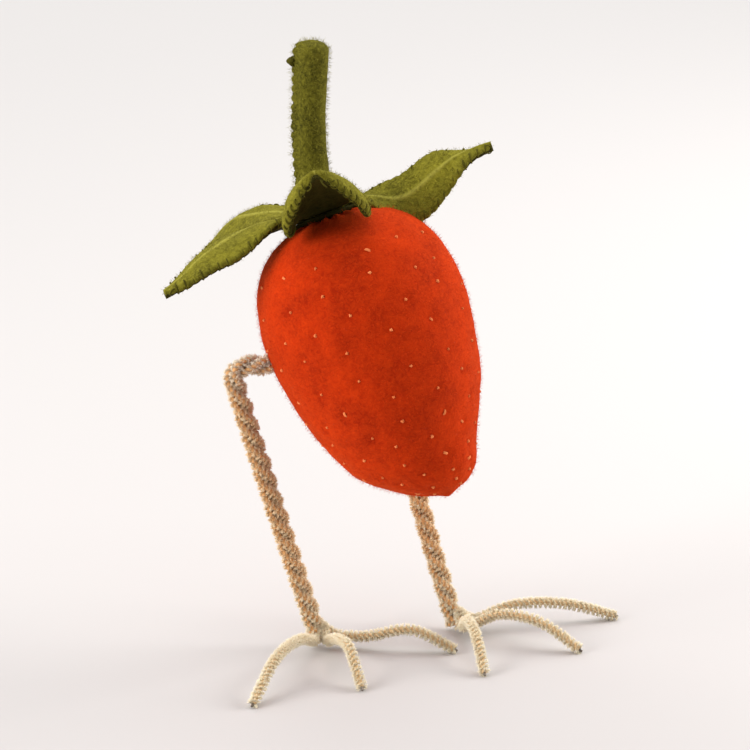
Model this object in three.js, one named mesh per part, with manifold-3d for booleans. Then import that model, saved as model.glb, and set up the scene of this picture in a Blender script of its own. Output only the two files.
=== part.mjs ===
// A felt strawberry pincushion standing on two bird legs of twisted chenille stem.
// Millimetres. +Z is up, the bird faces -Y, and -X is its left side.
// The origin is on the standing surface, under the middle of the object's box.
import * as THREE from 'three';
import { mergeVertices } from 'three/addons/utils/BufferGeometryUtils.js';
import Module from 'manifold-3d';

const wasm = await Module();
wasm.setup();

const degrees = Math.PI / 180;

// ---- Driving dimensions -------------------------------------------------------------------
const CLEARANCE = 0.3;
// Sets the middle of the object's box over the origin.
const CENTRING = [-0.3, -4.3];

// Berry: a stuffed felt skin whose tip points down and forwards.
const BERRY_TIP = new THREE.Vector3(-8, -30, 57);
const BERRY_TILT = 26.5 * degrees;
const BERRY_HEIGHT = 92;
const BERRY_OUTLINE = [
  [0, 0], [10.5, 4.5], [19, 14], [27, 31], [31.3, 50], [32, 64], [28.8, 78], [21.5, 87.5], [12, 92], [4.6, 91.2],
];
const BERRY_STEPS = 22;
const LINING_STEPS = 16;
const BERRY_SIDES = 28;
const TIP_HOOK = 4;
const TIP_HOOK_ZONE = 18;
const FELT = 1.6;
const NECK_THREAD_RING = 3.6;
const NECK_THREAD = 0.5;
const NECK_DEPTH = 1;

// Calyx: a felt disc under five leaves, each of two felts sewn edge to edge.
const CALYX_RADIUS = 11;
const CALYX_TOP = BERRY_HEIGHT + CLEARANCE + FELT;
const LEAF_ROOT = 8;
const LEAF_FELT = 1.2;
const LEAF_STEPS = 10;
const LEAF_STRIPS = 4;
// What the belly, the root and the point each give to the blade's half width.
const BELLY_SHARE = 0.82;
const ROOT_SHARE = 0.42;
const POINT_SHARE = 0.1;
// turn: degrees round the berry from its right side; reach: root to point, width: across the
// belly, in mm; rib: the rib's height over the disc at each third of the reach; cup: how far
// the edges hang below the rib; roll: degrees that the blade turns about its rib past the root;
// belly: under 1 moves the widest part to the root; taper: over 1 makes the ends slimmer.
const LEAVES = [
  { name: 'right', turn: -50, reach: 46.5, width: 18.6, rib: [0.5, -1.5, -0.4, 0.8], cup: 4, roll: 58, belly: 0.65, taper: 1.1 },
  { name: 'front', turn: -131, reach: 42, width: 24, rib: [0, 1.5, 4.5, 4], cup: 9, roll: -12, belly: 0.8, taper: 1.3 },
  { name: 'left', turn: 151, reach: 49, width: 19, rib: [0, 1.5, -2, -8.5], cup: 2.5, roll: 0, belly: 0.8, taper: 1 },
  { name: 'back_left', turn: 88, reach: 48, width: 19, rib: [0, 5, 7.5, 3], cup: 3, roll: -25, belly: 0.8, taper: 1 },
  { name: 'back_right', turn: 25, reach: 42, width: 19, rib: [0, 1, -2.5, -8], cup: 3, roll: 0, belly: 0.8, taper: 1 },
];

// Stalk: a rolled felt tube on a felt core, leaving the calyx square and bending upright.
const STALK_PIVOT = CALYX_TOP + 4;
const STALK_RADIUS = 4.8;
const STALK_WALL = 1.5;
const STALK_LENGTH = 48;
const STALK_BEND = 16;
const STALK_SETBACK = 4.2;
const STALK_FOOT_SHIFT = new THREE.Vector3(-0.9, 1, 0);
const STALK_STEPS = 10;
const STALK_SIDES = { outside: 14, bore: 12, core: 10 };

// Legs: three chenille stems twisted together, in at the hip, down to the ankle.
const HIP = new THREE.Vector3(34, 22.6, 98.2);
const HIP_BACKSET = 40 * degrees;
const HIP_STUB = 31;
const HIP_BEND = 6.5;
const STRAND_RADIUS = 1.28;
const STRAND_OFFSET = 1.95;
const TWIST_PITCH = 20;
const STRAND_SIDES = 6;
const STEPS_PER_TURN = 10;
const SOCKET_RADIUS = STRAND_OFFSET + STRAND_RADIUS + 0.5;
// How far a leg's line runs on below the ground, where the stems are cut off flat.
const LEG_OVERRUN = 1;

// Feet: the three stems spread into toes that arch and touch down on their cut ends.
const TOE_RADIUS = 1.7;
const TOE_BORE = 0.7;
const TOE_WIRE = 0.4;
const TOE_WIRE_SHOWS = 0.6;
const TOE_ROOT = 6;
const TOE_ROOT_HEIGHT = 4;
const TOE_PAD = 0.45;
const TOE_STEPS = 10;
const TOE_SIDES = 8;
const WIRE_SIDES = 5;
const WIRE_LIFT = 0.2;
// heading: degrees from +X; reach: ankle to tip; near and far: height a third and two thirds out.
const LEGS = [
  {
    side: 'left', sign: -1, ankle: [-14.5, 9.5], bow: [-0.2, 0.6],
    toes: [
      { name: 'outer', heading: -163.6, reach: 51, near: 9, far: 9.6 },
      { name: 'middle', heading: -119.6, reach: 37, near: 7.5, far: 9.8 },
      { name: 'inner', heading: -57.7, reach: 43, near: 4.2, far: 7.3 },
    ],
  },
  {
    side: 'right', sign: 1, ankle: [22.5, -17], bow: [-1.6, 1.6],
    toes: [
      { name: 'inner', heading: -128.7, reach: 36, near: 9, far: 8.6 },
      { name: 'middle', heading: -74.2, reach: 42, near: 8.6, far: 8.4 },
      { name: 'outer', heading: -38.8, reach: 53, near: 8, far: 7 },
    ],
  },
];

// ---- Materials ----------------------------------------------------------------------------
const felt = (color) => new THREE.MeshStandardMaterial({ color, roughness: 0.95, metalness: 0 });
const redFelt = felt(0xd23c0e);
const leafFelt = felt(0x6f6a24);
const liningFelt = felt(0x5a551d);
const wadding = felt(0xe8e2d4);
const chenille = felt(0xc79b70);
const paleChenille = felt(0xdcccb8);
const thread = felt(0xb8320c);
const wire = new THREE.MeshStandardMaterial({ color: 0x4a4038, roughness: 0.45, metalness: 0.9 });

// ---- Solids -------------------------------------------------------------------------------
// A closed, merged, outward-facing copy of a geometry, with only its positions.
function closed(geometry) {
  const bare = geometry.index ? geometry.toNonIndexed() : geometry.clone();
  bare.deleteAttribute('normal');
  bare.deleteAttribute('uv');
  const merged = mergeVertices(bare, 1e-4);
  const corner = [0, 1, 2].map(() => new THREE.Vector3());
  const faces = [];
  let volume = 0;
  for (let i = 0; i < merged.index.count; i += 3) {
    const face = [0, 1, 2].map((k) => merged.index.getX(i + k));
    if (new Set(face).size < 3) continue;
    face.forEach((vertex, k) => corner[k].fromBufferAttribute(merged.attributes.position, vertex));
    volume += corner[0].dot(corner[1].clone().cross(corner[2]));
    faces.push(face);
  }
  if (volume < 0) faces.forEach((face) => face.reverse());
  merged.setIndex(faces.flat());
  return merged;
}

function toManifold(geometry) {
  const source = closed(geometry);
  return new wasm.Manifold(new wasm.Mesh({
    numProp: 3,
    vertProperties: new Float32Array(source.attributes.position.array),
    triVerts: new Uint32Array(source.index.array),
  }));
}

// The geometry with each tool's space cut away.
function carve(geometry, tools) {
  const cut = tools.reduce((body, tool) => body.subtract(toManifold(tool)), toManifold(geometry));
  const mesh = cut.getMesh();
  const result = new THREE.BufferGeometry();
  result.setAttribute('position', new THREE.BufferAttribute(new Float32Array(mesh.vertProperties), 3));
  result.setIndex(Array.from(mesh.triVerts));
  return result;
}

// A body of revolution about +Z from [radius, height] points.
function turned(points, sides) {
  const profile = points.map(([radius, height]) => new THREE.Vector2(radius, height));
  return closed(new THREE.LatheGeometry(profile, sides).rotateX(Math.PI / 2));
}

// A round bar, or a tube when it has a bore, along a curve.
function bar(path, radius, sides, steps, bore = 0) {
  const section = new THREE.Shape().setFromPoints(ring(radius, sides));
  if (bore) section.holes.push(new THREE.Path().setFromPoints(ring(bore, WIRE_SIDES).reverse()));
  return closed(new THREE.ExtrudeGeometry(section, { steps, bevelEnabled: false, extrudePath: path }));
}

function ring(radius, sides) {
  return Array.from({ length: sides }, (_, i) => {
    const angle = (2 * Math.PI * i) / sides;
    return new THREE.Vector2(radius * Math.cos(angle), radius * Math.sin(angle));
  });
}

// The solid between two grids of points, rows by columns, that lie over each other.
function slab(top, bottom) {
  const rows = top.length;
  const columns = top[0].length;
  const at = (layer, i, j) => (layer * rows + i) * columns + j;
  const faces = [];
  const quad = (a, b, c, d) => faces.push(a, b, c, a, c, d);
  for (let i = 0; i + 1 < rows; i += 1) {
    for (let j = 0; j + 1 < columns; j += 1) {
      quad(at(0, i, j), at(0, i + 1, j), at(0, i + 1, j + 1), at(0, i, j + 1));
      quad(at(1, i, j), at(1, i, j + 1), at(1, i + 1, j + 1), at(1, i + 1, j));
    }
  }
  const last = columns - 1;
  for (let i = 0; i + 1 < rows; i += 1) {
    quad(at(0, i, 0), at(1, i, 0), at(1, i + 1, 0), at(0, i + 1, 0));
    quad(at(0, i, last), at(0, i + 1, last), at(1, i + 1, last), at(1, i, last));
  }
  for (let j = 0; j < last; j += 1) {
    quad(at(0, 0, j), at(0, 0, j + 1), at(1, 0, j + 1), at(1, 0, j));
    quad(at(0, rows - 1, j), at(1, rows - 1, j), at(1, rows - 1, j + 1), at(0, rows - 1, j + 1));
  }
  const geometry = new THREE.BufferGeometry().setFromPoints([...top.flat(), ...bottom.flat()]);
  geometry.setIndex(faces);
  return closed(geometry);
}

function piece(name, geometry, material) {
  const mesh = new THREE.Mesh(geometry, material);
  mesh.name = name;
  return mesh;
}

// ---- Legs ---------------------------------------------------------------------------------
const hipPoint = (leg) => new THREE.Vector3(BERRY_TIP.x + leg.sign * HIP.x, HIP.y, HIP.z);
const stubDirection = (leg) => (
  new THREE.Vector3(leg.sign * Math.cos(HIP_BACKSET), Math.sin(HIP_BACKSET), 0)
);

// The line along the middle of a leg: straight out of the berry, round the hip bend, down.
function legLine(leg) {
  const hip = hipPoint(leg);
  const out = stubDirection(leg);
  const ankle = new THREE.Vector3(...leg.ankle, -LEG_OVERRUN);
  const down = ankle.clone().sub(hip).normalize();
  const inner = hip.clone().addScaledVector(out, -HIP_STUB);
  const bendStart = hip.clone().addScaledVector(out, -HIP_BEND);
  const bendEnd = hip.clone().addScaledVector(down, HIP_BEND);
  const middle = bendEnd.clone().lerp(ankle, 0.5).add(new THREE.Vector3(...leg.bow, 0));
  const line = new THREE.CurvePath();
  line.add(new THREE.LineCurve3(inner, bendStart));
  line.add(new THREE.QuadraticBezierCurve3(bendStart, hip, bendEnd));
  line.add(new THREE.QuadraticBezierCurve3(bendEnd, middle, ankle));
  return line;
}

// One stem of a leg, winding round the leg's line from a starting angle.
class Strand extends THREE.Curve {
  constructor(line, startAngle) {
    super();
    this.line = line;
    this.startAngle = startAngle;
    this.turns = line.getLength() / TWIST_PITCH;
    this.samples = 240;
    this.frames = line.computeFrenetFrames(this.samples, false);
  }

  getPoint(t, target = new THREE.Vector3()) {
    const index = Math.min(Math.max(Math.round(t * this.samples), 0), this.samples);
    const angle = this.startAngle + 2 * Math.PI * this.turns * t;
    target.copy(this.line.getPointAt(Math.min(Math.max(t, 0), 1)));
    target.addScaledVector(this.frames.normals[index], STRAND_OFFSET * Math.cos(angle));
    target.addScaledVector(this.frames.binormals[index], STRAND_OFFSET * Math.sin(angle));
    return target;
  }
}

// Everything below the standing surface, cut off whatever rests on it.
const belowGround = () => new THREE.BoxGeometry(300, 300, 20).translate(0, 0, -10);

function makeLeg(leg) {
  const group = new THREE.Group();
  const line = legLine(leg);
  ['a', 'b', 'c'].forEach((letter, i) => {
    const strand = new Strand(line, (i * 2 * Math.PI) / 3);
    const steps = Math.round(strand.turns * STEPS_PER_TURN);
    const stem = bar(strand, STRAND_RADIUS, STRAND_SIDES, steps);
    group.add(piece(`${leg.side}_leg_strand_${letter}`, carve(stem, [belowGround()]), chenille));
  });
  leg.toes.forEach((toe) => group.add(makeToe(leg, toe)));
  return group;
}

// A toe arches from beside the ankle to its cut end on the ground, with its wire inside.
function makeToe(leg, toe) {
  const group = new THREE.Group();
  group.position.set(...leg.ankle, 0);
  group.rotation.z = toe.heading * degrees;
  const steepness = Math.atan2(toe.far, toe.reach / 3);
  const tipHeight = TOE_RADIUS * Math.cos(steepness) - TOE_PAD;
  const line = new THREE.CatmullRomCurve3([
    new THREE.Vector3(TOE_ROOT, 0, TOE_ROOT_HEIGHT),
    new THREE.Vector3(toe.reach / 3, 0, toe.near),
    new THREE.Vector3((toe.reach * 2) / 3, 0, toe.far),
    new THREE.Vector3(toe.reach, 0, tipHeight),
  ], false, 'centripetal');
  const pile = bar(line, TOE_RADIUS, TOE_SIDES, TOE_STEPS, TOE_BORE);
  const tail = line.getPoint(1).addScaledVector(line.getTangent(1), TOE_WIRE_SHOWS);
  tail.z = Math.max(tail.z, TOE_WIRE + WIRE_LIFT);
  const wireLine = new THREE.CatmullRomCurve3([...line.getPoints(TOE_STEPS), tail]);
  const core = bar(wireLine, TOE_WIRE, WIRE_SIDES, TOE_STEPS + 2);
  group.add(piece(`${leg.side}_foot_${toe.name}_toe`, carve(pile, [belowGround()]), paleChenille));
  group.add(piece(`${leg.side}_foot_${toe.name}_toe_wire`, core, wire));
  return group;
}

// ---- Berry --------------------------------------------------------------------------------
// The berry's own frame: origin at the tip, +Z along its axis to the calyx, -Y its front.
const berryFrame = new THREE.Group();
berryFrame.position.copy(BERRY_TIP);
berryFrame.rotation.x = -BERRY_TILT;
berryFrame.updateMatrixWorld();

const outline = new THREE.SplineCurve(BERRY_OUTLINE.map(([r, z]) => new THREE.Vector2(r, z)));

// The outline's points moved inwards by a depth, [radius, height], tip first.
function outlineInset(depth, steps) {
  return Array.from({ length: steps + 1 }, (_, i) => {
    const point = outline.getPointAt(i / steps);
    const along = outline.getTangentAt(i / steps);
    const radius = i === 0 ? 0 : Math.max(point.x - depth * along.y, 0.05);
    const height = i === 0 ? depth : point.y + depth * along.x;
    return [radius, height];
  });
}

// The last of the tip leans forwards.
function hooked(geometry) {
  const position = geometry.attributes.position;
  for (let i = 0; i < position.count; i += 1) {
    const short = Math.max(0, 1 - position.getZ(i) / TIP_HOOK_ZONE);
    position.setY(i, position.getY(i) - TIP_HOOK * short * short);
  }
  return geometry;
}

// The round ways that the leg stubs take into the berry, in the berry's frame.
function legSockets() {
  return LEGS.map((leg) => {
    const out = stubDirection(leg);
    const depth = HIP_STUB + 1;
    const socket = new THREE.CylinderGeometry(SOCKET_RADIUS, SOCKET_RADIUS, depth, 16);
    socket.applyQuaternion(new THREE.Quaternion().setFromUnitVectors(new THREE.Vector3(0, 1, 0), out));
    const middle = hipPoint(leg).addScaledVector(out, -depth / 2);
    socket.translate(middle.x, middle.y, middle.z);
    return socket.applyMatrix4(berryFrame.matrixWorld.clone().invert());
  });
}

function makeBerry() {
  const outer = outlineInset(0, BERRY_STEPS);
  const inner = outlineInset(FELT, LINING_STEPS).reverse();
  const neckRadius = outer.at(-1)[0];
  inner[0][0] = neckRadius;
  const fill = outlineInset(FELT + 2 * CLEARANCE, LINING_STEPS);
  const fillTop = fill.at(-1)[1] - NECK_DEPTH;
  fill.push([0, fillTop]);
  berryFrame.add(
    piece('berry_skin', carve(hooked(turned([...outer, ...inner], BERRY_SIDES)), legSockets()), redFelt),
    piece('berry_stuffing', carve(hooked(turned(fill, BERRY_SIDES)), legSockets()), wadding),
    piece('neck_gathering_thread', neckThread(), thread),
  );
}

function neckThread() {
  const ringShape = new THREE.TorusGeometry(NECK_THREAD_RING, NECK_THREAD, 6, 16);
  return closed(ringShape.translate(0, 0, BERRY_HEIGHT - NECK_DEPTH));
}

// ---- Calyx --------------------------------------------------------------------------------
// Half the blade's width at a share of its length: narrow root, full belly, blunt point.
function bladeHalfWidth(leaf, share) {
  const belly = BELLY_SHARE * Math.sin(Math.PI * share ** leaf.belly) ** leaf.taper;
  const root = ROOT_SHARE * (1 - share);
  const point = POINT_SHARE * share;
  return (leaf.width / 2) * Math.min(1, belly + root + point);
}

function ribHeight(leaf, share) {
  const knots = leaf.rib.map((height, i) => new THREE.Vector2(i / 3, height));
  return new THREE.SplineCurve(knots).getPoint(share).y;
}

// A point of a leaf, in its own frame: +X outwards, +Z away from the berry.
// across runs from -1 to 1 over the blade, and lift moves square to the blade.
function leafPoint(leaf, share, across, lift) {
  const roll = leaf.roll * degrees * THREE.MathUtils.smoothstep(share, 0.15, 0.55);
  const half = bladeHalfWidth(leaf, share);
  const sideways = half * across;
  const cup = leaf.cup * (half / (leaf.width / 2)) * THREE.MathUtils.smoothstep(share, 0.1, 0.6);
  const over = lift - cup * across * across;
  const height = ribHeight(leaf, share);
  return new THREE.Vector3(
    LEAF_ROOT + leaf.reach * share,
    sideways * Math.cos(roll) - over * Math.sin(roll),
    height + sideways * Math.sin(roll) + over * Math.cos(roll),
  );
}

function leafLayer(leaf, low, high) {
  const grid = (lift) => Array.from({ length: LEAF_STEPS + 1 }, (_, i) => (
    Array.from({ length: LEAF_STRIPS + 1 }, (__, j) => (
      leafPoint(leaf, i / LEAF_STEPS, (2 * j) / LEAF_STRIPS - 1, lift)
    ))
  ));
  return slab(grid(high), grid(low));
}

function makeLeaf(leaf) {
  const group = new THREE.Group();
  group.position.z = CALYX_TOP + CLEARANCE;
  group.rotation.z = leaf.turn * degrees;
  const liningTop = LEAF_FELT;
  const upperBottom = liningTop + CLEARANCE;
  group.add(
    piece(`${leaf.name}_leaf_lining`, leafLayer(leaf, 0, liningTop), liningFelt),
    piece(`${leaf.name}_leaf_upper`, leafLayer(leaf, upperBottom, upperBottom + LEAF_FELT), leafFelt),
  );
  return group;
}

function makeCalyx() {
  const base = BERRY_HEIGHT + CLEARANCE;
  const disc = turned([[0, base], [CALYX_RADIUS, base], [CALYX_RADIUS, CALYX_TOP], [0, CALYX_TOP]], 20);
  berryFrame.add(piece('calyx_disc', disc, liningFelt));
  LEAVES.forEach((leaf) => berryFrame.add(makeLeaf(leaf)));
}

// ---- Stalk --------------------------------------------------------------------------------
function makeStalk() {
  const start = berryFrame.localToWorld(new THREE.Vector3(0, 0, STALK_PIVOT));
  const axis = new THREE.Vector3(0, Math.sin(BERRY_TILT), Math.cos(BERRY_TILT));
  const bend = start.clone().addScaledVector(axis, STALK_BEND);
  const top = start.clone().add(new THREE.Vector3(0, STALK_SETBACK, STALK_LENGTH));
  start.add(STALK_FOOT_SHIFT);
  const line = new THREE.QuadraticBezierCurve3(start, bend, top);
  const coreRadius = STALK_RADIUS - STALK_WALL - CLEARANCE;
  const tube = new THREE.Shape().setFromPoints(ring(STALK_RADIUS, STALK_SIDES.outside));
  tube.holes.push(new THREE.Path().setFromPoints(ring(STALK_RADIUS - STALK_WALL, STALK_SIDES.bore).reverse()));
  const roll = new THREE.ExtrudeGeometry(tube, { steps: STALK_STEPS, bevelEnabled: false, extrudePath: line });
  const group = new THREE.Group();
  group.add(
    piece('stalk_felt', closed(roll), leafFelt),
    piece('stalk_core', bar(line, coreRadius, STALK_SIDES.core, STALK_STEPS), wadding),
  );
  return group;
}

// ---- Assembly -----------------------------------------------------------------------------
const pincushion = new THREE.Group();
pincushion.position.set(...CENTRING, 0);
makeBerry();
makeCalyx();
pincushion.add(berryFrame, makeStalk(), ...LEGS.map(makeLeg));

export default pincushion;
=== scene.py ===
import math
import random

import bpy
import numpy as np
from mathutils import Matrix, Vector, noise
from mathutils.bvhtree import BVHTree

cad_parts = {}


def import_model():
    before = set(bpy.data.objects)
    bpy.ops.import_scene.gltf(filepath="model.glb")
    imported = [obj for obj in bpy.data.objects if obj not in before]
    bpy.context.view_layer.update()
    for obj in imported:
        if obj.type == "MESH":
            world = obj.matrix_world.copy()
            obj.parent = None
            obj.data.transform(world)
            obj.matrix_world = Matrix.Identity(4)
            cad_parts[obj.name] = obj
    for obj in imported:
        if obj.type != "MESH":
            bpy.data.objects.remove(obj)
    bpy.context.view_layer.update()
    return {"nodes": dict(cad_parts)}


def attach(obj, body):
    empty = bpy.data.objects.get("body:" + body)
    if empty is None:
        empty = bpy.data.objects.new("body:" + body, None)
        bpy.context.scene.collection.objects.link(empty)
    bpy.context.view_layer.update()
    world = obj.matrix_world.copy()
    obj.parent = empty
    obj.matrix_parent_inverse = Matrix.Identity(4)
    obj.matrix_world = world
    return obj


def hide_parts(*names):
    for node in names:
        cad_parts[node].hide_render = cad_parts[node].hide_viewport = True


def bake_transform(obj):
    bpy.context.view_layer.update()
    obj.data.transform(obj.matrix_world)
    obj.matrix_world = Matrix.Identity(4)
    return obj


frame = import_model()

# Lengths are in millimetres up to the point where a mesh is made.
MM = 0.001
UP = np.array([0.0, 0.0, 1.0])

# Berry: its own frame has its origin at the tip and +Z along its axis to the calyx.
BERRY_TIP = np.array([-8.3, -34.3, 57.0])
BERRY_TILT = math.radians(26.5)
BERRY_HEIGHT = 92.0
BERRY_OUTLINE = [
    (0, 0), (10.5, 4.5), (19, 14), (27, 31), (31.3, 50),
    (32, 64), (28.8, 78), (21.5, 87.5), (12, 92), (4.6, 91.2),
]
TIP_HOOK = (2.2, -5.4)
TIP_HOOK_ZONE = 17.0
BERRY_ROWS = 120
BERRY_SIDES = 160
NECK_PLEATS = 17
SEAM_ANGLE = math.radians(90)
SEAM_PITCH = 3.6
STUFFING_VOXEL = 4.0
STUFFING_STEPS = 20
SWELL_REACH = 6.0
SWELL_LIMITS = (-1.1, 0.7)

# Calyx: a leaf's turn, arch and roll are in degrees, and its rib is four heights along it.
CALYX_TOP = 93.9
LEAF_ROOT = 8.0
LEAF_FELT = 1.2
LEAF_GAP = 0.3
BELLY_SHARE = 0.82
ROOT_SHARE = 0.42
POINT_SHARE = 0.1
TIP_START = 0.92
STITCH_BITE = 0.34
STITCH_PITCH = 2.85
LEAVES = {
    "right": dict(
        turn=-48, reach=46.5, width=17.5, rib=(0, -4.6, 0.3, 0.6), arch=22, roll=62,
        belly=0.7, taper=1, crease=0.4, roll_zone=(0, 0.35), unroll=0.8,
    ),
    "front": dict(
        turn=-136.5, reach=33, width=21.5, rib=(0, 4.2, 7.4, 8.0), arch=92, roll=-6,
        belly=0.85, taper=0.6, crease=0,
    ),
    "left": dict(
        turn=151, reach=49, width=20, rib=(0, 1.2, -2, -8.5), arch=28, roll=-20,
        belly=0.8, taper=1, crease=0.1,
    ),
    "back_left": dict(
        turn=88, reach=48, width=19, rib=(0, 5, 7.5, 3), arch=35, roll=-25,
        belly=0.8, taper=1, crease=0.3,
    ),
    "back_right": dict(
        turn=25, reach=42, width=19, rib=(0, 1, -2.5, -8), arch=35, roll=0,
        belly=0.8, taper=1, crease=0.3,
    ),
}
DISC_RADIUS = 11.0
DISC_FELT = 1.6

# Stalk: its top is given from its pivot.
STALK_PIVOT = 97.9
STALK_RADIUS = 5.1
STALK_BEND = 16.0
STALK_TOP = np.array([0.4, 3.9, 49.6])
STALK_FOOT_SHIFT = np.array([-0.9, 1.0, 0.0])
SEAM_SIDE = np.array([-0.643, 0.766, 0.0])

# Legs and feet: each toe is its heading in degrees, its reach and two heights of its arch.
CENTRING = np.array([-0.3, -4.3, 0.0])
HIP = (34.0, 22.6, 98.2)
HIP_BACKSET = math.radians(40)
HIP_BEND = 6.5
HIP_HIDDEN = 19.0
TWIST_PITCH = 20.0
STRAND_OFFSET = 1.75
STRAND_PILE = 1.95
TOE_PILE = 2.1
PILE_SPREAD = 0.95
STEM_TURN = 3.4
STRAND_CORE = 0.8
TOE_CORE = 0.85
STRAND_FIBRES = 78
TOE_FIBRES = 92
FIBRE_GIRTH = 0.115
FIBRE_LEAN = 0.28
LEGS = {
    "left": dict(
        sign=-1, ankle=(-14.5, 9.5), bow=(-0.2, 0.6),
        toes={
            "outer": (-163.6, 51, 9, 9.6),
            "middle": (-119.6, 37, 7.5, 9.8),
            "inner": (-57.7, 43, 4.2, 7.3),
        },
    ),
    "right": dict(
        sign=1, ankle=(22.5, -17), bow=(-1.6, 1.6),
        toes={
            "inner": (-128.7, 36, 9, 8.6),
            "middle": (-74.2, 42, 8.6, 8.4),
            "outer": (-38.8, 53, 8, 7),
        },
    ),
}

# Wool fuzz: fibres per square metre, their lift off the felt, and their length and girth in metres.
BERRY_FUZZ = dict(density=0.92e6, lift=0.3, height=0.0014, girth=0.000042)
LEAF_FUZZ = dict(density=1.5e6, lift=0.3, height=0.0014, girth=0.000045)
STALK_FUZZ = dict(density=2.6e6, lift=0.4, height=0.0018, girth=0.00005)

# Studio: the floor pales along one level direction, the one that the camera looks along; this is painted shade
# in the floor's colour, darker near the camera and lighter away from it.
CAMERA_TARGET = np.array([-24.3, -24.8, 100.0])
CAMERA_TURN = math.radians(-50)
CAMERA_RISE = math.radians(18)
CAMERA_DISTANCE = 800.0
CAMERA_HALF_VIEW = math.radians(8)
SENSOR_WIDTH = 36.0
FLOOR_HALF_SIDE = 6000.0
FLOOR_SHADE_PAINTED_ALONG = (0.766, 0.643, 0)
WARM_WHITE = (1, 0.985, 0.96)


# ---- Lines and tubes -----------------------------------------------------------------------
def unit(vector):
    vector = np.asarray(vector, float)
    return vector / np.linalg.norm(vector)


def smoothstep(value, low, high):
    share = np.clip((np.asarray(value, float) - low) / (high - low), 0, 1)
    return share * share * (3 - 2 * share)


def hermite(start, end, leave, arrive, share):
    square, cube = share * share, share ** 3
    return (
        (2 * start - 2 * end + leave + arrive) * cube
        + (-3 * start + 3 * end - 2 * leave - arrive) * square
        + leave * share
        + start
    )


def even_spline(knots, share):
    """A point at a share of a Catmull-Rom line through evenly counted knots."""
    knots = np.asarray(knots, float)
    last = len(knots) - 1
    place = share * last
    index = min(int(place), last - 1)
    before, start, end, after = (knots[min(max(index + k, 0), last)] for k in (-1, 0, 1, 2))
    return hermite(start, end, (end - before) / 2, (after - start) / 2, place - index)


def centripetal_line(knots, steps):
    """Points on a Catmull-Rom line whose speed follows the distance between its knots."""
    knots = [np.asarray(knot, float) for knot in knots]
    knots = [2 * knots[0] - knots[1], *knots, 2 * knots[-1] - knots[-2]]
    points = []
    for i in range(1, len(knots) - 2):
        a, b, c, d = knots[i - 1:i + 3]
        ab, bc, cd = (max(math.sqrt(np.linalg.norm(q - p)), 1e-4) for p, q in ((a, b), (b, c), (c, d)))
        leave = ((b - a) / ab - (c - a) / (ab + bc) + (c - b) / bc) * bc
        arrive = ((c - b) / bc - (d - b) / (bc + cd) + (d - c) / cd) * bc
        points += [hermite(b, c, leave, arrive, k / steps) for k in range(steps)]
    return np.array([*points, knots[-2]])


def bezier(start, bend, end, steps):
    share = np.linspace(0, 1, steps + 1)[:, None]
    return (1 - share) ** 2 * start + 2 * share * (1 - share) * bend + share ** 2 * end


def lengths_along(points):
    return np.concatenate([[0], np.cumsum(np.linalg.norm(np.diff(points, axis=0), axis=1))])


def respaced(points, spacing):
    """The same line with its points evenly spaced."""
    along = lengths_along(points)
    places = np.linspace(0, along[-1], max(2, round(along[-1] / spacing) + 1))
    return np.stack([np.interp(places, along, points[:, k]) for k in range(3)], 1)


def carried_frames(points, first=UP):
    """Tangents and two square directions that don't spin along the line."""
    tangents = np.gradient(points, axis=0)
    tangents /= np.linalg.norm(tangents, axis=1)[:, None]
    side = first - tangents[0] * (first @ tangents[0])
    if np.linalg.norm(side) < 1e-3:
        side = np.cross(tangents[0], [1.0, 0.0, 0.0])
    sides = []
    for tangent in tangents:
        side = unit(side - tangent * (side @ tangent))
        sides.append(side)
    sides = np.array(sides)
    return tangents, sides, np.cross(tangents, sides)


def tube(points, radii, sides, first=UP):
    """Vertices and faces of a closed tube; radii is one number, one per point, or a grid."""
    count = len(points)
    radii = np.asarray(radii, float)
    if radii.ndim < 2:
        radii = np.repeat(np.broadcast_to(radii, (count,))[:, None], sides, 1)
    _, across, over = carried_frames(points, first)
    angle = np.linspace(0, 2 * math.pi, sides, endpoint=False)
    rings = points[:, None] + radii[..., None] * (
        across[:, None] * np.cos(angle)[None, :, None] + over[:, None] * np.sin(angle)[None, :, None]
    )
    return rings.reshape(-1, 3), closed_faces(count, sides)


def grid_faces(rows, columns, base=0):
    """The faces between rings of vertices."""
    return [
        (base + i * columns + j, base + i * columns + (j + 1) % columns,
         base + (i + 1) * columns + (j + 1) % columns, base + (i + 1) * columns + j)
        for i in range(rows - 1)
        for j in range(columns)
    ]


def closed_faces(rows, columns):
    """The faces between rings of vertices, and one that closes each end."""
    last = (rows - 1) * columns
    ends = [tuple(range(columns))[::-1], tuple(last + j for j in range(columns))]
    return grid_faces(rows, columns) + ends


def joined(parts):
    """Several (vertices, faces) as one."""
    vertices, faces, base = [], [], 0
    for points, polygons in parts:
        vertices.append(np.asarray(points, float))
        faces += [tuple(base + k for k in polygon) for polygon in polygons]
        base += len(points)
    return np.concatenate(vertices), faces


# ---- Objects -------------------------------------------------------------------------------
def new_piece(name, points, faces, material=None, smooth=True):
    mesh = bpy.data.meshes.new(name)
    mesh.from_pydata((np.asarray(points, float) * MM).tolist(), [], faces)
    mesh.update()
    if smooth:
        mesh.polygons.foreach_set("use_smooth", [True] * len(mesh.polygons))
    piece = bpy.data.objects.new(name, mesh)
    bpy.context.scene.collection.objects.link(piece)
    if material is not None:
        mesh.materials.append(material)
    return piece


def evaluated_mesh(piece):
    bpy.context.view_layer.update()
    state = piece.evaluated_get(bpy.context.evaluated_depsgraph_get())
    return bpy.data.meshes.new_from_object(state)


def settle(piece):
    """Turns what a piece's modifiers make into its plain mesh."""
    mesh = evaluated_mesh(piece)
    piece.modifiers.clear()
    old, piece.data = piece.data, mesh
    bpy.data.meshes.remove(old)
    return piece


def discard(*objects):
    for thing in objects:
        mesh = thing.data
        bpy.data.objects.remove(thing)
        bpy.data.meshes.remove(mesh)


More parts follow.
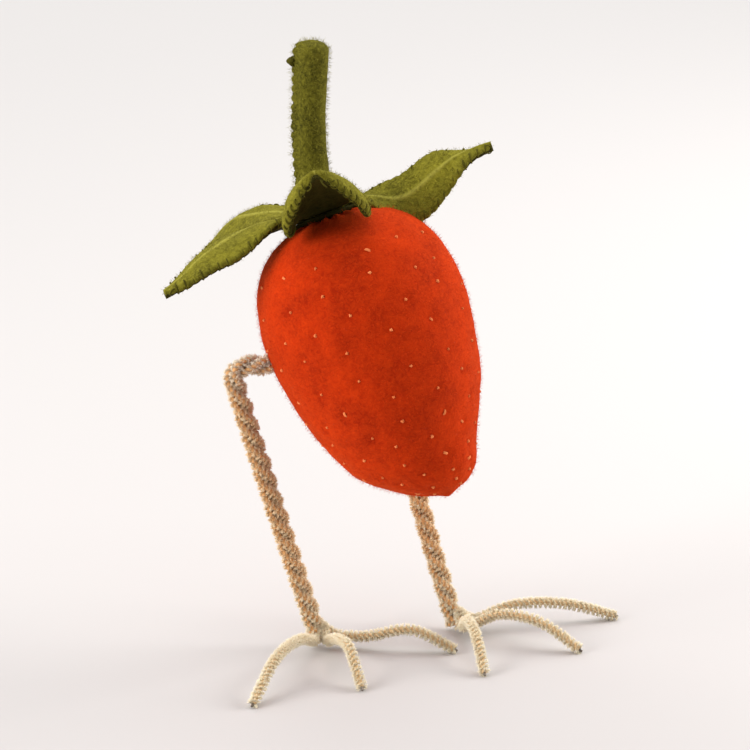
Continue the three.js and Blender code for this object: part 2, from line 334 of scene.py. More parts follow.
def from_berry(points):
    """Points of the berry's frame in the row's frame."""
    x, y, z = np.asarray(points, float).reshape(-1, 3).T
    c, s = math.cos(BERRY_TILT), math.sin(BERRY_TILT)
    return np.stack([x, y * c + z * s, -y * s + z * c], 1) + BERRY_TIP


def berry_direction(vector):
    return (from_berry([vector]) - from_berry([(0, 0, 0)]))[0]


def metres(point):
    return tuple(float(value) * MM for value in point)


# ---- Node trees ----------------------------------------------------------------------------
def arithmetic(operation):
    """An operator's two methods, the link standing before or after the other value."""
    def before(link, other):
        return link.graph.maths(operation, link, other)

    def after(link, other):
        return link.graph.maths(operation, other, link)

    return before, after


class Link:
    """A node's output; arithmetic on it adds the Math nodes that work it out."""

    def __init__(self, graph, socket):
        self.graph = graph
        self.socket = socket

    __add__, __radd__ = arithmetic("ADD")
    __sub__, __rsub__ = arithmetic("SUBTRACT")
    __mul__, __rmul__ = arithmetic("MULTIPLY")
    __truediv__, __rtruediv__ = arithmetic("DIVIDE")


class Graph:
    """A node tree; every node comes from node()."""

    def __init__(self, tree):
        self.tree = tree

    def node(self, kind, settings=None, inputs=None, output=0):
        made = self.tree.nodes.new(kind)
        for key, value in (settings or {}).items():
            if key == "stops":
                ramp = made.color_ramp
                while len(ramp.elements) < len(value):
                    ramp.elements.new(0.5)
                for element, (place, color) in zip(ramp.elements, value):
                    element.position = place
                    element.color = (*color, 1)
            else:
                setattr(made, key, value)
        for key, value in (inputs or {}).items():
            socket = made.inputs[key]
            if isinstance(value, Link):
                self.tree.links.new(value.socket, socket)
            elif value is not None:
                socket.default_value = value
        return Link(self, made.outputs[output]) if made.outputs else made

    def maths(self, operation, a, b=None):
        return self.node("ShaderNodeMath", {"operation": operation}, {0: a, 1: b})

    def vectors(self, operation, a, b=None, output=0):
        return self.node("ShaderNodeVectorMath", {"operation": operation}, {0: a, 1: b}, output)

    def stretch(self, vector, factor):
        return self.node("ShaderNodeVectorMath", {"operation": "SCALE"}, {0: vector, "Scale": factor})

    def colours(self, factor, first, second):
        sides = {0: factor, 6: rgba(first), 7: rgba(second)}
        return self.node("ShaderNodeMix", {"data_type": "RGBA"}, sides, 2)

    def ramp(self, factor, stops):
        grey = [(place, (value,) * 3) for place, value in stops]
        return self.node("ShaderNodeValToRGB", {"stops": grey}, {0: factor})

    def noise(self, vector, scale, detail=3.0, roughness=0.55, distortion=0.0):
        sizes = dict(Vector=vector, Scale=scale, Detail=detail, Roughness=roughness, Distortion=distortion)
        return self.node("ShaderNodeTexNoise", {"normalize": True}, sizes)

    def place(self):
        return self.node("ShaderNodeTexCoord", None, None, "Object")

    def tint(self):
        return self.node("ShaderNodeAttribute", {"attribute_name": "tint"}, None, "Fac")


def rgba(color):
    return color if isinstance(color, Link) else (*color, 1)


def scatter_tree(name, kind, material, shape):
    """A tree that sets a small shape on a line, on a surface or on marked points.

    line: a pile that stands out of a twisted wire; surface: fibres that lie loosely on felt;
    points: one shape on each vertex, out along "facing" and turned to "along".
    """
    tree = bpy.data.node_groups.new(name, "GeometryNodeTree")
    graph = Graph(tree)
    sizes = {
        "line": ["Count", "Turn Pitch", "Line Length", "Spread", "Lean", "Height", "Girth", "Seed"],
        "surface": ["Density", "Lift", "Height", "Girth", "Seed"],
        "points": ["Height", "Girth", "Seed"],
    }[kind]
    tree.interface.new_socket("Geometry", in_out="INPUT", socket_type="NodeSocketGeometry")
    for size in sizes:
        whole = size in ("Count", "Seed")
        socket_type = "NodeSocketInt" if whole else "NodeSocketFloat"
        tree.interface.new_socket(size, in_out="INPUT", socket_type=socket_type)
    tree.interface.new_socket("Geometry", in_out="OUTPUT", socket_type="NodeSocketGeometry")
    entry = tree.nodes.new("NodeGroupInput")
    given = {socket.name: Link(graph, socket) for socket in entry.outputs if socket.name}

    def chance(low, high, offset):
        seed = graph.maths("ADD", given["Seed"], offset)
        made = graph.node("FunctionNodeRandomValue", {"data_type": "FLOAT"}, {"Seed": seed}, 1)
        floats = [socket for socket in made.socket.node.inputs if socket.type == "VALUE"]
        for socket in floats:
            if socket.name in ("Min", "Max"):
                socket.default_value = low if socket.name == "Min" else high
        return made

    def any_direction(offset):
        parts = {key: chance(-1.0, 1.0, offset + i) for i, key in enumerate("XYZ")}
        return graph.node("ShaderNodeCombineXYZ", None, parts)

    if kind == "line":
        curve = graph.node("GeometryNodeMeshToCurve", None, {0: given["Geometry"]})
        inputs = {"Curve": curve, "Count": given["Count"]}
        points = graph.node("GeometryNodeCurveToPoints", {"mode": "COUNT"}, inputs)
        outs = points.socket.node.outputs
        tangent, normal = Link(graph, outs["Tangent"]), Link(graph, outs["Normal"])
        index = graph.node("GeometryNodeInputIndex")
        along = index / given["Count"] * given["Line Length"]
        turns = along / given["Turn Pitch"] + graph.maths("MODULO", index, 2.0) * 0.5
        angle = turns * (2 * math.pi) + given["Spread"] * chance(-1.0, 1.0, 1) * chance(0.0, 1.0, 9)
        side = graph.vectors("CROSS_PRODUCT", tangent, normal)
        out = graph.vectors(
            "ADD",
            graph.stretch(normal, graph.maths("COSINE", angle)),
            graph.stretch(side, graph.maths("SINE", angle)),
        )
        lean = graph.stretch(tangent, given["Lean"] * chance(-1.0, 1.0, 2))
        direction = graph.vectors("ADD", out, lean)
    elif kind == "surface":
        inputs = {"Mesh": given["Geometry"], "Density": given["Density"], "Seed": given["Seed"]}
        points = graph.node("GeometryNodeDistributePointsOnFaces", {"distribute_method": "RANDOM"}, inputs)
        normal = Link(graph, points.socket.node.outputs["Normal"])
        direction = graph.vectors("ADD", graph.stretch(normal, given["Lift"]), any_direction(3))
    else:
        points = given["Geometry"]
    if kind == "points":
        vector = {"data_type": "FLOAT_VECTOR"}
        facing, heading = (
            graph.node("GeometryNodeInputNamedAttribute", vector, {"Name": mark})
            for mark in ("facing", "along")
        )
        axes = {"primary_axis": "Z", "secondary_axis": "X"}
        rotation = graph.node("FunctionNodeAxesToRotation", axes, {0: facing, 1: heading})
    else:
        spin = graph.node("FunctionNodeAlignRotationToVector", {"axis": "Z"}, {"Vector": direction})
        about = {"Axis": (0, 0, 1), "Angle": chance(0.0, 6.28, 6)}
        twist = graph.node("FunctionNodeAxisAngleToRotation", None, about)
        space = {"rotation_space": "LOCAL"}
        rotation = graph.node("FunctionNodeRotateRotation", space, {0: spin, 1: twist})
    vary = chance(0.72, 1.12, 7)
    scale = graph.node(
        "ShaderNodeCombineXYZ", None,
        {"X": given["Girth"] * vary, "Y": given["Girth"] * vary, "Z": given["Height"] * vary},
    )
    held = graph.node("GeometryNodeObjectInfo", {"transform_space": "ORIGINAL"}, {"Object": shape}, "Geometry")
    placed = graph.node(
        "GeometryNodeInstanceOnPoints", None,
        {"Points": points, "Instance": held, "Rotation": rotation, "Scale": scale},
    )
    tinted = graph.node(
        "GeometryNodeStoreNamedAttribute",
        {"data_type": "FLOAT", "domain": "INSTANCE"},
        {"Geometry": placed, "Name": "tint", "Value": chance(0.0, 1.0, 8)},
    )
    real = graph.node("GeometryNodeRealizeInstances", None, {0: tinted})
    dressed = graph.node("GeometryNodeSetMaterial", None, {"Geometry": real, "Material": material})
    leave = tree.nodes.new("NodeGroupOutput")
    tree.links.new(dressed.socket, leave.inputs[0])
    return tree


def scattered(name, carrier, tree, **sizes):
    """A carrier's own scatter as a plain mesh piece; the carrier itself isn't kept."""
    piece = bpy.data.objects.new(name, carrier)
    bpy.context.scene.collection.objects.link(piece)
    modifier = piece.modifiers.new(name, "NODES")
    modifier.node_group = tree
    for item in tree.interface.items_tree:
        key = item.name.replace(" ", "_").lower()
        if item.in_out == "INPUT" and key in sizes:
            modifier[item.identifier] = sizes[key]
    mesh = evaluated_mesh(piece)
    piece.modifiers.clear()
    piece.data = mesh
    mesh.name = name
    material = next(material for material in mesh.materials if material is not None)
    mesh.materials.clear()
    mesh.materials.append(material)
    mesh.polygons.foreach_set("material_index", [0] * len(mesh.polygons))
    mesh.polygons.foreach_set("use_smooth", [True] * len(mesh.polygons))
    return piece


def sewn(name, shape, material, spots, out, way, seed, size=0.001):
    """A small thread shape set on each spot, standing out one way and turned to another."""
    tree = scatter_tree(name, "points", material, shape)
    carrier = marked_points(name, spots, out, way)
    piece = scattered(name, carrier, tree, height=size, girth=size, seed=seed)
    discard(shape)
    return piece


def line_mesh(name, points):
    mesh = bpy.data.meshes.new(name)
    edges = [(i, i + 1) for i in range(len(points) - 1)]
    mesh.from_pydata((np.asarray(points) * MM).tolist(), edges, [])
    return mesh


def marked_points(name, points, facing, along):
    mesh = bpy.data.meshes.new(name)
    mesh.from_pydata((np.asarray(points) * MM).tolist(), [], [])
    for key, values in (("facing", facing), ("along", along)):
        attribute = mesh.attributes.new(key, "FLOAT_VECTOR", "POINT")
        attribute.data.foreach_set("vector", np.asarray(values, np.float32).ravel())
    return mesh


# ---- Materials -----------------------------------------------------------------------------
def new_material(name):
    material = bpy.data.materials.new(name)
    material.use_nodes = True
    material.node_tree.nodes.clear()
    return material, Graph(material.node_tree)


def finish_material(graph, base, roughness, normal=None, **fixed):
    inputs = {"Base Color": base, "Roughness": roughness, "Normal": normal}
    shader = graph.node("ShaderNodeBsdfPrincipled", None, inputs)
    for key, value in fixed.items():
        socket = shader.socket.node.inputs[key.replace("_", " ")]
        socket.default_value = value
    graph.node("ShaderNodeOutputMaterial", None, {"Surface": shader})


def wool(graph):
    """Fibre strokes in crossing directions and two sizes of cloudiness, each 0 to 1."""
    place = graph.place()
    strokes = []
    for turn, stretch in (((0.3, 0.9, 0.2), (500, 500, 2600)), ((1.1, 0.1, 0.7), (2600, 420, 700))):
        turned = graph.node("ShaderNodeMapping", None, {"Vector": place, "Rotation": turn, "Scale": stretch})
        strokes.append(graph.noise(turned, 1.0, 3.0, 0.6, 0.9))
    strands = graph.maths("MAXIMUM", strokes[0], strokes[1])
    clouds = graph.noise(place, 75.0, 3.0, 0.6, 0.4)
    curls = graph.noise(place, 620.0, 5.0, 0.65, 1.3)
    return strands, clouds, curls


# rib, when given, is the colour of a painted highlight down the middle of a sheet; the sheet's edges then also
# get painted shade.
def felt(name, deep, middle, lit, relief=0.55, sheen=0.3, sheen_tint=(1, 1, 1), rib=None):
    material, graph = new_material(name)
    strands, clouds, curls = wool(graph)
    body = graph.colours(graph.ramp(clouds, [(0.32, 0), (0.66, 1)]), deep, middle)
    nap = graph.ramp(curls, [(0.38, 0), (0.68, 1)])
    color = graph.colours(nap * 0.45, body, lit)
    color = graph.colours(graph.ramp(strands, [(0.58, 0), (0.76, 1)]) * 0.5, color, lit)
    color = graph.colours(graph.ramp(curls, [(0.28, 1), (0.42, 0)]) * 0.4, color, deep)
    if rib is not None:
        # Painted highlight: a pale stripe down the middle of the sheet, in the rib colour, as if the midrib
        # fold caught the light.
        sheet_place = graph.node("ShaderNodeUVMap", {"uv_map": "sheet"})
        across = graph.node("ShaderNodeSeparateXYZ", None, {0: sheet_place}, 0)
        off = graph.maths("ABSOLUTE", across - 0.5)
        painted_rib_highlight = graph.ramp(off, [(0.0, 1), (0.06, 0)])
        color = graph.colours(painted_rib_highlight * 0.65, color, rib)
        # Painted shade: the outer part of the sheet, across its rounded edge, is darkened towards the deep
        # colour.
        edge = graph.ramp(off, [(0.44, 0), (0.5, 1)])
        color = graph.colours(edge * 0.35, color, deep)
    height = curls * 0.6 + strands * 0.4
    normal = graph.node("ShaderNodeBump", None, {"Strength": relief, "Distance": 0.0005, "Height": height})
    roughness = 0.86 + clouds * 0.12
    finish_material(
        graph, color, roughness, normal,
        Sheen_Weight=sheen, Sheen_Roughness=0.55, Sheen_Tint=(*sheen_tint, 1), Specular_IOR_Level=0.06,
    )
    return material


def fibre(name, dark, light, sheen=0.2, rising=(), tint=(1, 1, 1)):
    """Loose fibres: each has its own tone; rising adds a tone change over a height."""
    material, graph = new_material(name)
    own_tone = graph.tint()
    place = graph.place()
    patch = graph.noise(place, 160.0, 2.0)
    color = graph.colours(own_tone * 0.65 + patch * 0.45, dark, light)
    height = graph.node("ShaderNodeSeparateXYZ", None, {0: place}, 2)
    for low, high, other in rising:
        share = graph.ramp((height - low) * (1 / (high - low)), [(0, 0), (1, 1)])
        color = graph.colours(share, color, other)
    finish_material(
        graph, color, 0.75 + patch * 0.15,
        Sheen_Weight=sheen, Sheen_Roughness=0.4, Sheen_Tint=(*tint, 1), Specular_IOR_Level=0.1,
    )
    return material


def thread(name, dark, light):
    material, graph = new_material(name)
    place = graph.place()
    ply = graph.noise(place, 2600.0, 3.0, 0.6, 0.5)
    tone = graph.noise(place, 300.0, 2.0)
    tint = graph.tint()
    color = graph.colours(ply * 0.5 + tone * 0.2 + tint * 0.35, dark, light)
    normal = graph.node("ShaderNodeBump", None, {"Strength": 0.5, "Distance": 0.0002, "Height": ply})
    finish_material(graph, color, 0.7 + tone * 0.2, normal, Specular_IOR_Level=0.08)
    return material


def steel(name):
    material, graph = new_material(name)
    place = graph.place()
    drawn = graph.noise(place, 3200.0, 3.0, 0.6)
    stain = graph.noise(place, 700.0, 2.0)
    color = graph.colours(drawn * 0.6 + stain * 0.3, (0.07, 0.055, 0.045), (0.34, 0.29, 0.25))
    normal = graph.node("ShaderNodeBump", None, {"Strength": 0.3, "Distance": 0.0001, "Height": drawn})
    finish_material(graph, color, 0.35 + stain * 0.3, normal, Metallic=0.9)
    return material


RED = dict(deep=(0.33, 0.013, 0.001), middle=(0.53, 0.028, 0.002), lit=(0.74, 0.056, 0.005))
LEAF = dict(deep=(0.05, 0.045, 0.004), middle=(0.15, 0.133, 0.01), lit=(0.4, 0.36, 0.04))
STALK = dict(deep=(0.028, 0.026, 0.003), middle=(0.085, 0.077, 0.007), lit=(0.3, 0.27, 0.03))
# Lining felt: its own darker green, made near-black as painted shade for the hollows under the leaves; the
# calyx disc uses it too. Its rib colour is a painted midrib highlight.
LINING_AND_SHADE = dict(deep=(0.012, 0.011, 0.002), middle=(0.03, 0.026, 0.004), lit=(0.08, 0.07, 0.012))
red_felt = felt("red_wool_felt", **RED, sheen=0.5, sheen_tint=(1.0, 0.14, 0.02))
# The leaf felt's rib colour is its painted midrib highlight; its edges get painted shade.
leaf_felt = felt("leaf_green_felt", **LEAF, sheen=0.2, sheen_tint=(0.8, 0.74, 0.12), rib=(0.42, 0.38, 0.07))
lining_and_shade_felt = felt(
    "leaf_lining_felt", **LINING_AND_SHADE, sheen=0.05, sheen_tint=(0.7, 0.64, 0.1), rib=(0.05, 0.043, 0.008)
)
stalk_felt = felt("stalk_green_felt", **STALK, sheen=0.2, sheen_tint=(0.8, 0.74, 0.12))
wadding = felt("wool_wadding", (0.5, 0.45, 0.36), (0.7, 0.66, 0.56), (0.85, 0.82, 0.74))
red_fuzz = fibre("red_wool_fibre", (0.45, 0.02, 0.001), (0.8, 0.075, 0.008), 0.2, tint=(1.0, 0.2, 0.05))
leaf_fuzz = fibre("green_wool_fibre", (0.06, 0.052, 0.005), (0.42, 0.38, 0.05), 0.15, tint=(0.9, 0.82, 0.2))
seed_thread = thread("pale_seed_thread", (0.75, 0.15, 0.035), (1.0, 0.36, 0.13))
green_thread = thread("green_sewing_thread", (0.035, 0.031, 0.003), (0.12, 0.106, 0.01))
red_thread = thread("red_sewing_thread", (0.25, 0.012, 0.002), (0.5, 0.04, 0.006))
# Leg tones by height: paler below 30 mm, painted light that runs into the toes' painted-light colour; paler
# again above 85 mm.
LEG_TONES = [(0.03, 0.008, (1.0, 0.88, 0.66)), (0.085, 0.1, (1.0, 0.9, 0.74))]
leg_pile = fibre(
    "tan_chenille_pile", (0.95, 0.64, 0.36), (1.0, 0.84, 0.58), 0.5, LEG_TONES, (1.0, 0.82, 0.62)
)
leg_core = fibre("tan_chenille_core", (0.7, 0.38, 0.16), (0.85, 0.52, 0.26), 0.1)
# The toes' pile and core are the legs' chenille colours made paler: painted light, as if the toes lay in
# brighter light.
painted_light_toe_pile = fibre("cream_chenille_pile", (0.98, 0.82, 0.56), (1.0, 0.95, 0.78), 0.4, (), (1.0, 0.92, 0.78))
painted_light_toe_core = fibre("cream_chenille_core", (0.75, 0.52, 0.28), (0.88, 0.68, 0.42), 0.1)
wire_steel = steel("dull_wire")

for name, node in frame["nodes"].items():
    for word, material in (
        ("wire", wire_steel), ("stuffing", wadding), ("core", wadding), ("thread", red_thread),
        ("lining", lining_and_shade_felt), ("upper", leaf_felt), ("disc", lining_and_shade_felt), ("stalk_felt", stalk_felt),
        ("berry_skin", red_felt), ("strand", leg_core), ("toe", painted_light_toe_core),
    ):
        if word in name:
            for material_slot in node.material_slots:
                material_slot.material = material
            break


# ---- Small shapes that are repeated --------------------------------------------------------
def spindle(name, bow, heights):
    """A three-sided fibre, one long and one in radius, that bows sideways."""
    rings = len(heights)
    points, faces = [(0, 0, 0)], []
    for k, height in enumerate(heights):
        girth = 1.0 if k == 0 else 0.62
        for corner in range(3):
            angle = 2 * math.pi * corner / 3
            lean = bow * height * height
            points.append((girth * math.cos(angle) + lean, girth * math.sin(angle), height))
    points.append((bow, 0, 1))
    tip = len(points) - 1
    for corner in range(3):
        after = (corner + 1) % 3
        faces.append((0, 1 + after, 1 + corner))
        for k in range(rings - 1):
            low, high = 1 + 3 * k, 4 + 3 * k
            faces.append((low + corner, low + after, high + after, high + corner))
        top = 1 + 3 * (rings - 1)
        faces.append((top + corner, top + after, tip))
    return new_piece(name, np.array(points) / MM, faces)


def looped_thread(name, arcs, thickness):
    """Short thread arcs over a point; each arc is (heading, half length, rise, sideways)."""
    parts = []
    for heading, half, rise, sideways in arcs:
        direction = np.array([math.cos(heading), math.sin(heading), 0])
        beside = np.array([-math.sin(heading), math.cos(heading), 0])
        share = np.linspace(-1, 1, 7)
        line = direction * half * share[:, None] + UP * (rise * (1 - share[:, None] ** 2) - 0.25)
        line = line + beside * sideways
        parts.append(tube(line, thickness * (1 - 0.25 * share ** 2), 5))
    points, faces = joined(parts)
    return new_piece(name, points / MM, faces)


def edge_loop(name, height, thickness, slant):
    """A whip stitch: a thread drawn tight round an edge, whose ends sink into the felt."""
    angle = np.linspace(-0.68 * math.pi, 0.68 * math.pi, 11)
    line = np.stack([
        slant * angle / math.pi,
        height * np.sin(angle),
        -1.3 + 1.42 * np.cos(angle),
    ], 1)
    points, faces = tube(line, thickness, 5)
    return new_piece(name, points / MM, faces)


short_fibre = spindle("pile_fibre", 0.0, [0.74])
curled_fibre = spindle("wool_fibre", 5.0, [0.33, 0.67])
fuzz_tree = {
    "red": scatter_tree("red_felt_fuzz", "surface", red_fuzz, curled_fibre),
    "green": scatter_tree("green_felt_fuzz", "surface", leaf_fuzz, curled_fibre),
}
pile_tree = {
    "leg": scatter_tree("leg_chenille_pile", "line", leg_pile, short_fibre),
    "toe": scatter_tree("toe_chenille_pile", "line", painted_light_toe_pile, short_fibre),
}


# ---- Camera, light and floor ---------------------------------------------------------------
def set_camera():
    back = np.array([
        math.sin(CAMERA_TURN) * math.cos(CAMERA_RISE),
        -math.cos(CAMERA_TURN) * math.cos(CAMERA_RISE),
        math.sin(CAMERA_RISE),
    ])
    data = bpy.data.cameras.new("camera")
    data.sensor_width = SENSOR_WIDTH
    data.lens = data.sensor_width / 2 / math.tan(CAMERA_HALF_VIEW)
    data.clip_start, data.clip_end = 0.05, 30.0
    camera = bpy.data.objects.new("camera", data)
    camera.location = metres(CAMERA_TARGET + back * CAMERA_DISTANCE)
    camera.rotation_mode = "QUATERNION"
    camera.rotation_quaternion = Vector(-back).to_track_quat("-Z", "Y")
    bpy.context.scene.collection.objects.link(camera)
    bpy.context.scene.camera = camera


def soft_light(name, place, target, size, watts, tone=(1, 1, 1)):
    data = bpy.data.lights.new(name, "AREA")
    data.shape = "SQUARE"
    data.size = size
    data.energy = watts
    data.color = tone
    lamp = bpy.data.objects.new(name, data)
    lamp.location = place
    lamp.rotation_mode = "QUATERNION"
    lamp.rotation_quaternion = (Vector(target) - Vector(place)).to_track_quat("-Z", "Y")
    bpy.context.scene.collection.objects.link(lamp)


def set_studio():
    world = bpy.data.worlds.new("pale_room")
    world.use_nodes = True
    graph = Graph(world.node_tree)
    world.node_tree.nodes.clear()
    glow = graph.node("ShaderNodeBackground", None, {"Color": (1.0, 0.985, 0.97, 1), "Strength": 0.42})
    graph.node("ShaderNodeOutputWorld", None, {"Surface": glow})
    bpy.context.scene.world = world
    bpy.context.scene.view_settings.view_transform = "Standard"
    middle = (0, 0, 0.1)
    sun = bpy.data.lights.new("overhead", "SUN")
    sun.energy = 2.1
    sun.angle = math.radians(75)
    sky = bpy.data.objects.new("overhead", sun)
    sky.rotation_euler = (math.radians(-24), math.radians(10), 0)
    bpy.context.scene.collection.objects.link(sky)
    soft_light("left_softbox", (-0.95, 0.45, 0.45), middle, 0.6, 9.0, WARM_WHITE)
    soft_light("right_softbox", (0.75, -0.55, 0.5), middle, 0.6, 9.0, WARM_WHITE)
    material, graph = new_material("pale_paper")
    place = graph.place()
    grain = graph.noise(place, 4.0, 3.0)
    # Painted shade on the floor: its colour runs from darker near the camera to paler away from it, along the
    # camera's level line of sight.
    back = graph.vectors("DOT_PRODUCT", place, FLOOR_SHADE_PAINTED_ALONG, "Value")
    painted_floor_shade = graph.ramp((back + 0.2) / 2.2, [(0, 0), (0.14, 0.28), (1, 1)])
    color = graph.colours(painted_floor_shade, (0.53, 0.505, 0.5), (0.86, 0.84, 0.83))
    finish_material(graph, color, 0.9 + grain * 0.05, Specular_IOR_Level=0.1)
    corners = [(x * FLOOR_HALF_SIDE, y * FLOOR_HALF_SIDE, 0) for x, y in ((-1, -1), (1, -1), (1, 1), (-1, 1))]
    floor = new_piece("floor", corners, [(0, 1, 2, 3)], material)


# ---- Berry ---------------------------------------------------------------------------------
def berry_rows():
    """Radius and height of each row of the skin, from the tip to the gathered neck."""
    fine = np.array([even_spline(BERRY_OUTLINE, share) for share in np.linspace(0, 1, 600)])
    along = lengths_along(np.column_stack([fine, np.zeros(len(fine))]))
    places = np.linspace(0, along[-1], BERRY_ROWS)
    radius, height = (np.interp(places, along, fine[:, k]) for k in (0, 1))
    return np.maximum(radius, 0.02), height


def berry_grid(radius, height, sides):
    angle = np.linspace(0, 2 * math.pi, sides, endpoint=False)
    x = radius[:, None] * np.cos(angle)
    y = radius[:, None] * np.sin(angle)
    z = np.repeat(height[:, None], sides, 1)
    hooked = 1 - smoothstep(z, 0, TIP_HOOK_ZONE)
    return np.stack([x + TIP_HOOK[0] * hooked, y + TIP_HOOK[1] * hooked, z], -1)


def grid_normals(grid):
    around = np.roll(grid, -1, 1) - np.roll(grid, 1, 1)
    up = np.gradient(grid, axis=0)
    normal = np.cross(around, up)
    return normal / np.maximum(np.linalg.norm(normal, axis=2)[..., None], 1e-9)


def seed_places():
    """Staggered seeds, closer near the tip: row and side of the skin's grid for each."""
    draw = random.Random(41)
    radius, height = berry_rows()
    along = lengths_along(np.column_stack([radius, height, np.zeros(len(radius))]))
    seeds, place, ring = [], 6.0, 0
    while place < along[-1] - 21:
        row = int(np.searchsorted(along, place))
        spacing = 6.2 + 4.2 * float(smoothstep(place, 6, 50))
        count = max(4, round(2 * math.pi * radius[row] / (spacing * 1.35)))
        for k in range(count):
            angle = 2 * math.pi * (k + 0.5 * (ring % 2) + draw.uniform(-0.17, 0.17)) / count
            jitter = draw.uniform(-1.6, 1.6)
            seed_row = int(np.searchsorted(along, place + jitter))
            seeds.append((min(seed_row, BERRY_ROWS - 2), angle % (2 * math.pi), draw.random()))
        place += spacing * 0.88
        ring += 1
    return seeds


def surface_tree(points, mesh):
    return BVHTree.FromPolygons([Vector(p) for p in points], [tuple(f.vertices) for f in mesh.polygons])


def stuffed_form(grid, seeds):
    """The skin blown up by its stuffing, held at the seeds: a simulated cloth."""
    start = grid - 1.2 * grid_normals(grid)
    rows, sides = start.shape[:2]
    form = new_piece("stuffing_form", start.reshape(-1, 3), closed_faces(rows, sides))
    remesh = form.modifiers.new("even_cloth", "REMESH")
    remesh.mode = "VOXEL"
    remesh.voxel_size = STUFFING_VOXEL * MM
    settle(form)
    rest = np.array([vertex.co for vertex in form.data.vertices]) / MM
    held = form.vertex_groups.new(name="held")
    tree = surface_tree(rest, form.data)
    for row, angle, _ in seeds:
        target = start[row, int(round(angle / (2 * math.pi) * sides)) % sides]
        _, _, face, _ = tree.find_nearest(Vector(target))
        corners = form.data.polygons[face].vertices
        nearest = min(corners, key=lambda index: np.linalg.norm(rest[index] - target))
        held.add([nearest], 1.0, "REPLACE")
    neck = [int(i) for i in np.nonzero(rest[:, 2] > BERRY_HEIGHT - 4)[0]]
    held.add(neck, 1.0, "REPLACE")
    cloth = form.modifiers.new("stuffing", "CLOTH")
    for setting, value in dict(
        quality=6, mass=0.3, tension_stiffness=25, compression_stiffness=25, bending_stiffness=2,
        use_pressure=True, uniform_pressure_force=4, vertex_group_mass="held",
    ).items():
        setattr(cloth.settings, setting, value)
    cloth.settings.effector_weights.gravity = 0
    cloth.point_cache.frame_start, cloth.point_cache.frame_end = 1, STUFFING_STEPS
    for step in range(1, STUFFING_STEPS + 1):
        bpy.context.scene.frame_set(step)
    blown = evaluated_mesh(form)
    moved = np.array([vertex.co for vertex in blown.vertices]) / MM
    bpy.context.scene.frame_set(1)
    step = moved - rest
    size = np.linalg.norm(step, axis=1)
    moved = rest + step * np.minimum(1, SWELL_REACH / np.maximum(size, 1e-6))[:, None]
    surface = surface_tree(moved, blown)
    normals = grid_normals(grid)
    swell = np.zeros(grid.shape[:2])
    for i in range(rows):
        for j in range(0, sides, 2):
            hit, _, _, _ = surface.find_nearest(Vector(grid[i, j]))
            if hit is not None:
                swell[i, j] = (np.array(hit) - grid[i, j]) @ normals[i, j]
        swell[i, 1::2] = (swell[i, 0::2] + np.roll(swell[i, 0::2], -1)) / 2
    discard(form)
    bpy.data.meshes.remove(blown)
    for _ in range(3):
        swell = (2 * swell + np.roll(swell, 1, 1) + np.roll(swell, -1, 1)) / 4
        swell[1:-1] = (2 * swell[1:-1] + swell[:-2] + swell[2:]) / 4
    swell = swell - np.median(swell)
    return np.clip(swell, *SWELL_LIMITS)


